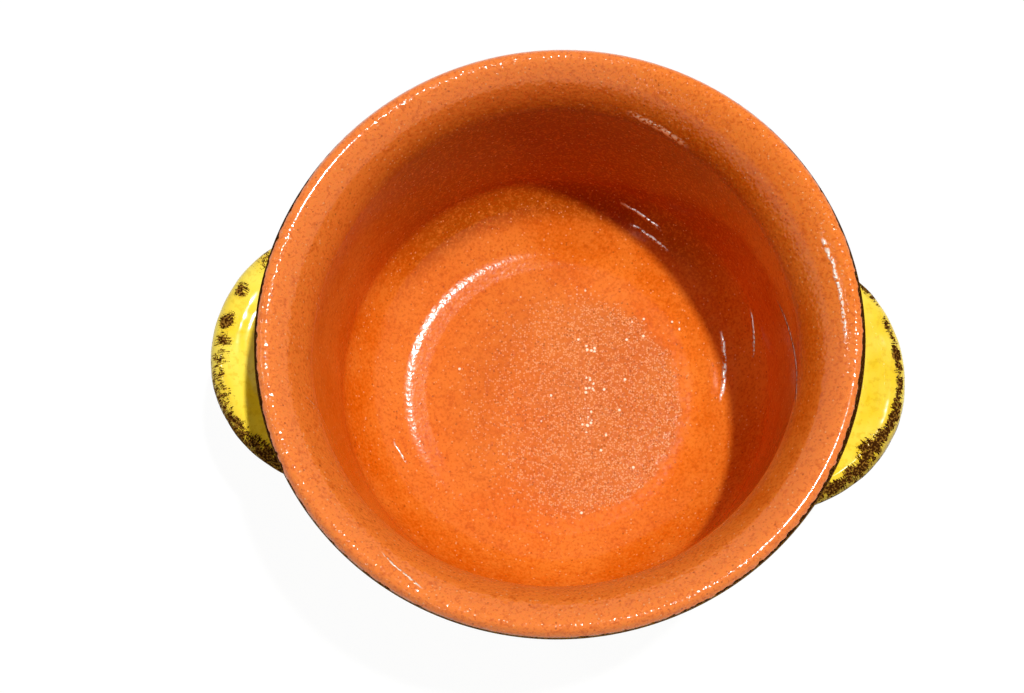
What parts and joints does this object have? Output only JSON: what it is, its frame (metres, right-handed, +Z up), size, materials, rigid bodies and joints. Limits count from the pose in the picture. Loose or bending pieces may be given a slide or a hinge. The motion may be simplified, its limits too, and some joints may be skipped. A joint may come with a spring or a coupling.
{
  "type": "soup crock",
  "caption": "Round single-serving soup crock with a rolled lip, glazed inside and out, with solid lug handles on opposite sides and a bare foot ring.",
  "frame": {"origin": "centre of the foot ring, on the surface the crock stands on", "axes": "+Z up out of the bowl, +X towards the right handle, so both handles lie along X"},
  "size_m": [0.16, 0.13, 0.068],
  "materials": {
    "bare_clay": "matte",
    "orange_glaze": "gloss",
    "yellow_glaze": "gloss",
    "worn_slip": "satin"
  },
  "bodies": {
    "root": {"crock_body": "bare_clay", "inside_glaze": "orange_glaze", "outside_glaze": "yellow_glaze", "handle_right": "yellow_glaze", "handle_left": "yellow_glaze", "slip_joint_right": "worn_slip", "slip_joint_left": "worn_slip"}
  },
  "joints": []
}
